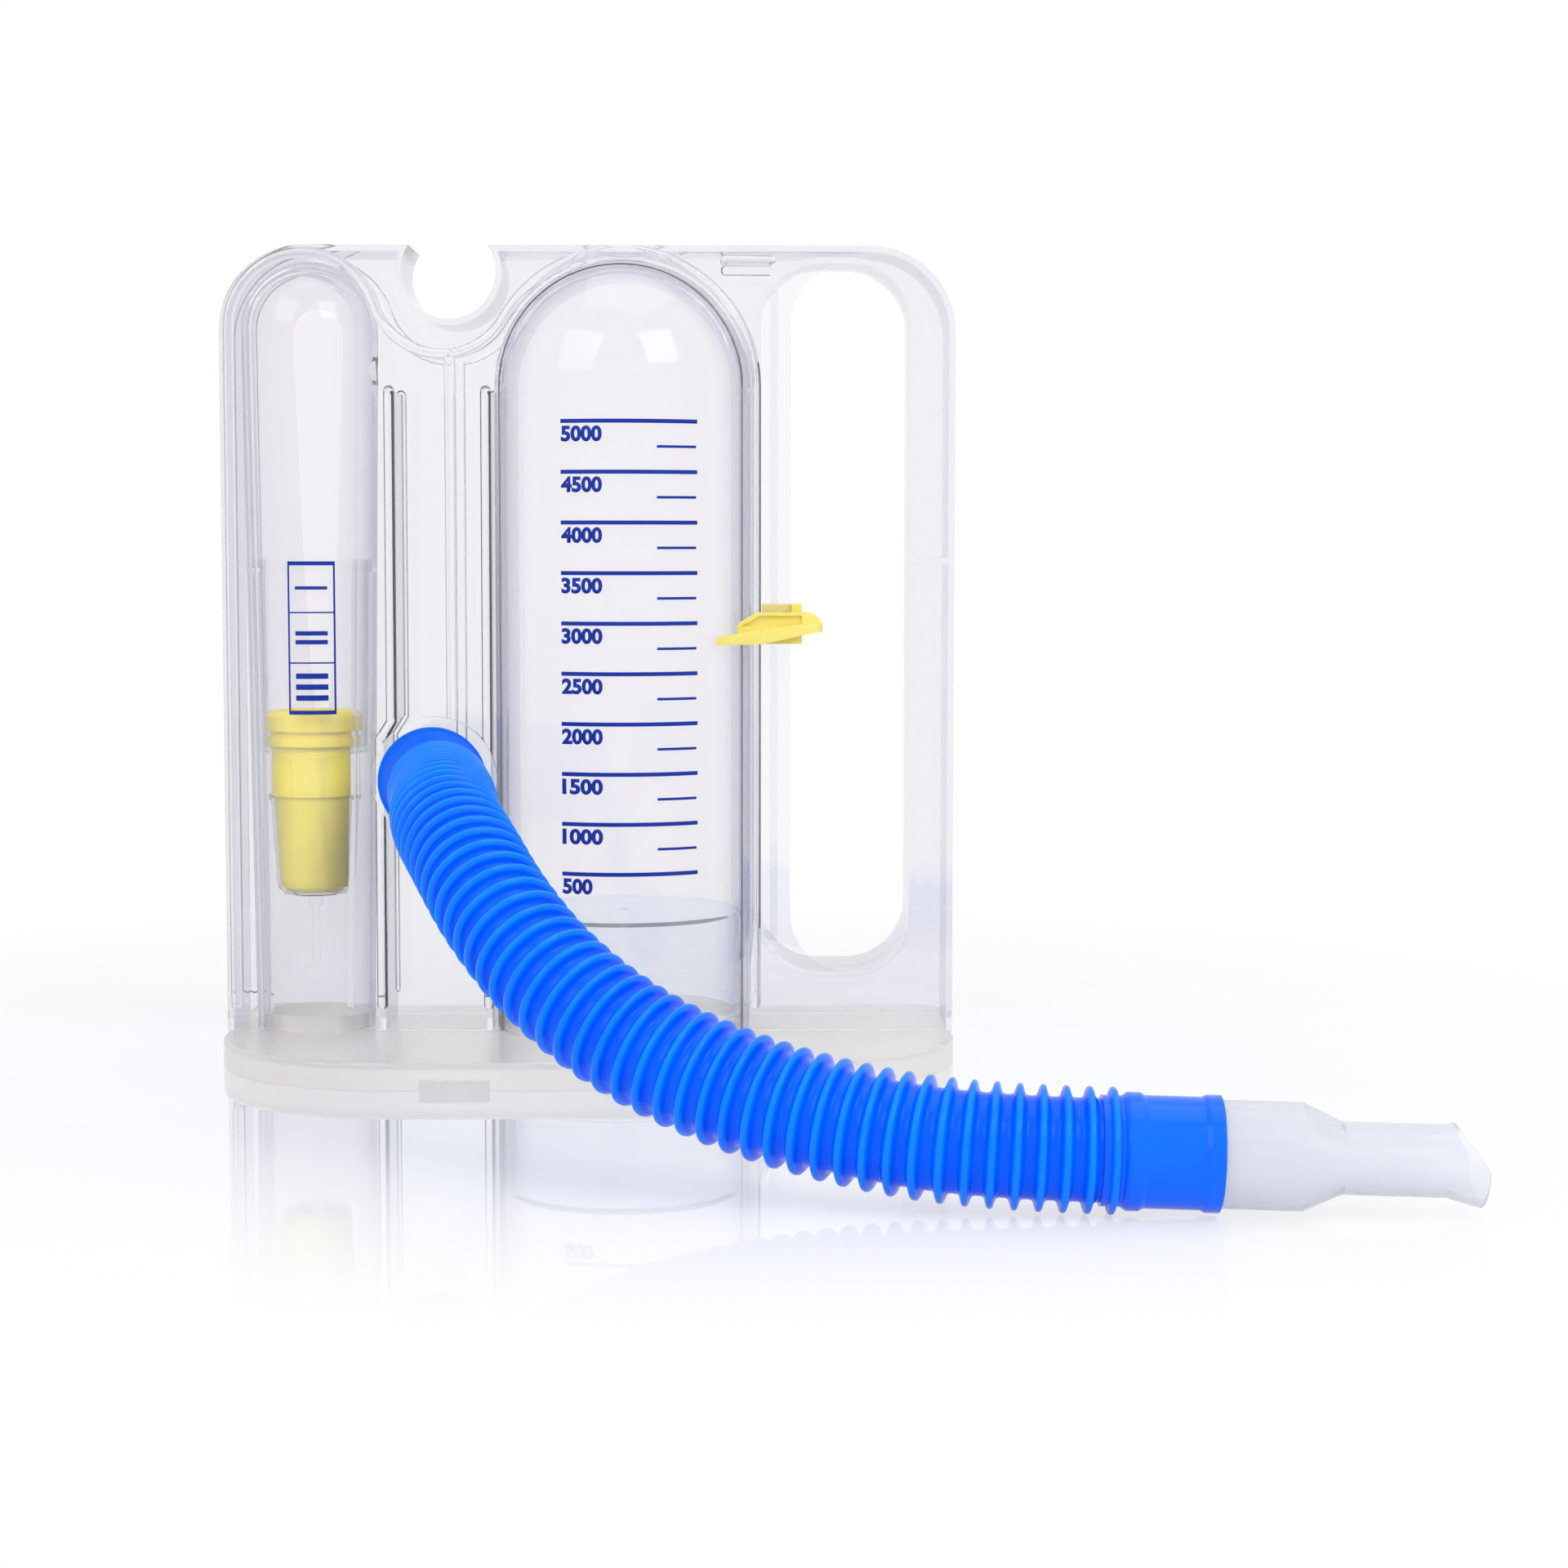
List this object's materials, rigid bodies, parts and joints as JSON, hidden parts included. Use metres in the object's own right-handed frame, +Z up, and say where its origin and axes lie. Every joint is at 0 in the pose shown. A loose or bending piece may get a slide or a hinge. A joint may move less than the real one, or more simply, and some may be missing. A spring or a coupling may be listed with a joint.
{
  "type": "incentive spirometer",
  "caption": "Clear volumetric incentive spirometer with flow cup, volume piston, yellow pointer, blue corrugated hose and mouthpiece.",
  "frame": {"origin": "centre of the underside of the stand, on the surface it stands on", "axes": "+Z up, -Y towards the front with the scale and the hose port, +X to the viewer's right"},
  "size_m": [0.3003, 0.2633, 0.2244],
  "materials": {
    "clear_housing": "clear, glossy",
    "clear_sleeve": "clear, glossy",
    "pale_stand": "satin",
    "yellow_float": "satin",
    "yellow_pointer": "satin",
    "milky_plastic": "translucent, satin",
    "blue_hose": "satin"
  },
  "bodies": {
    "housing": {"front_shell": "clear_housing", "rear_shell": "clear_housing", "base_tray": "pale_stand", "flow_sleeve": "clear_sleeve", "hose_tube": "blue_hose", "hose_cuff_port": "blue_hose", "hose_cuff_mouth": "blue_hose"},
    "flow_float": {"flow_cup": "yellow_float"},
    "piston": {"volume_piston": "milky_plastic"},
    "pointer": {"volume_pointer": "yellow_pointer"},
    "mouth": {"mouthpiece": "milky_plastic"}
  },
  "joints": [
    {"name": "volume_rise", "type": "slide", "parent": "housing", "child": "piston", "axis": [0, 0, 1], "range_m": [0, 0.1434]},
    {"name": "flow_rise", "type": "slide", "parent": "housing", "child": "flow_float", "axis": [0, 0, 1], "range_m": [0, 0.042]},
    {"name": "pointer_slide", "type": "slide", "parent": "housing", "child": "pointer", "axis": [0, 0, 1], "range_m": [-0.072, 0.074]},
    {"name": "mouthpiece_pull", "type": "slide", "parent": "housing", "child": "mouth", "axis": [0.9994, -0.0208, -0.0291], "range_m": [0, 0.0215]}
  ]
}
